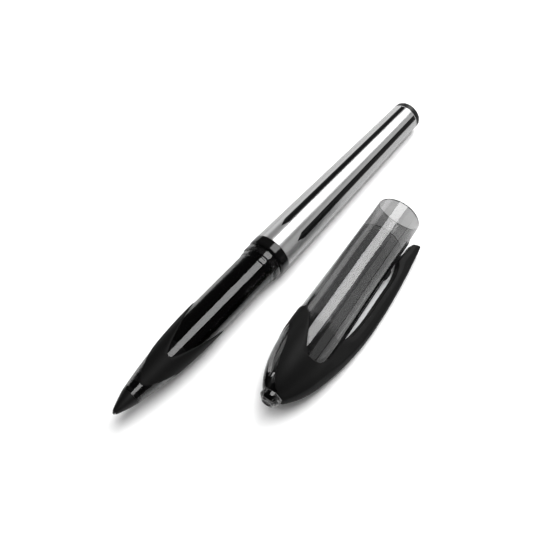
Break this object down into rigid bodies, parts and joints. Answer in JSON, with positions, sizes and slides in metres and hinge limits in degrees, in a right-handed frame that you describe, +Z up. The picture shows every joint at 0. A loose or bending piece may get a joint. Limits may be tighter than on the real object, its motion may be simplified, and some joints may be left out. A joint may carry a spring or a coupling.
{
  "type": "rollerball pen",
  "caption": "Liquid-ink rollerball pen with a smoked grip section and a silver barrel with black stripes, uncapped, with its clear cap and pocket clip lying beside it.",
  "frame": {"origin": "middle of the floor area that pen and cap cover together, on the surface they lie on", "axes": "+X along the pen from the writing tip towards the tail, +Y from the cap towards the pen, +Z up"},
  "size_m": [0.1324, 0.0424, 0.0146],
  "materials": {
    "ball_steel": "polished",
    "seat_steel": "turned",
    "nose_black": "satin",
    "fibre": "dry, fibrous",
    "guide_grey": "satin",
    "inner_black": "glossy moulded",
    "smoked_clear": "glossy, smoked transparent",
    "grip_soft": "matt, soft to the touch",
    "collar_black": "glossy",
    "barrel_silver": "metallic silver lacquer",
    "stripe_black": "printed, glossy",
    "tank_clear": "translucent",
    "ink_black": "liquid",
    "stopper_grey": "matt",
    "tail_black": "satin",
    "cap_smoked": "glossy, lightly smoked transparent",
    "cap_matt": "matt, soft to the touch",
    "clip_matt": "matt, soft to the touch",
    "end_clear": "glossy, clear",
    "liner_clear": "translucent",
    "seal_rubber": "matt"
  },
  "bodies": {
    "pen": {"ball_seat": "seat_steel", "nose_cone": "nose_black", "feed_core": "fibre", "feed_guide": "guide_grey", "ink_collector": "inner_black", "inner_sleeve": "inner_black", "grip_shell": "smoked_clear", "grip_cover": "grip_soft", "neck_collar": "collar_black", "barrel": "barrel_silver", "barrel_stripes": "stripe_black", "tank_joint": "inner_black", "ink_tank": "tank_clear", "ink_column": "ink_black", "tank_stopper": "stopper_grey", "tail_plug": "tail_black"},
    "ball": {"writing_ball": "ball_steel"},
    "cap": {"cap_tube": "cap_smoked", "cap_cover": "cap_matt", "cap_end": "end_clear", "inner_cap": "liner_clear", "tip_seal": "seal_rubber"},
    "clip": {"pocket_clip": "clip_matt"}
  },
  "joints": [
    {"name": "cap_slide", "type": "slide", "parent": "pen", "child": "cap", "axis": [-0.9952, -0.0976, 0], "range_m": [0, 0.098]},
    {"name": "clip_flex", "type": "hinge", "parent": "cap", "child": "clip", "pos_m": [-0.01456, -0.0208, 0.00181], "axis": [-0.0534, 0.4431, -0.8949], "range_deg": [0, 3.5], "stiffness_Nm_per_rad": 2},
    {"name": "ball_roll", "type": "hinge", "parent": "pen", "child": "ball", "pos_m": [-0.06588, 0.01507, 0.00756], "axis": [0, 1, 0], "continuous": true}
  ]
}
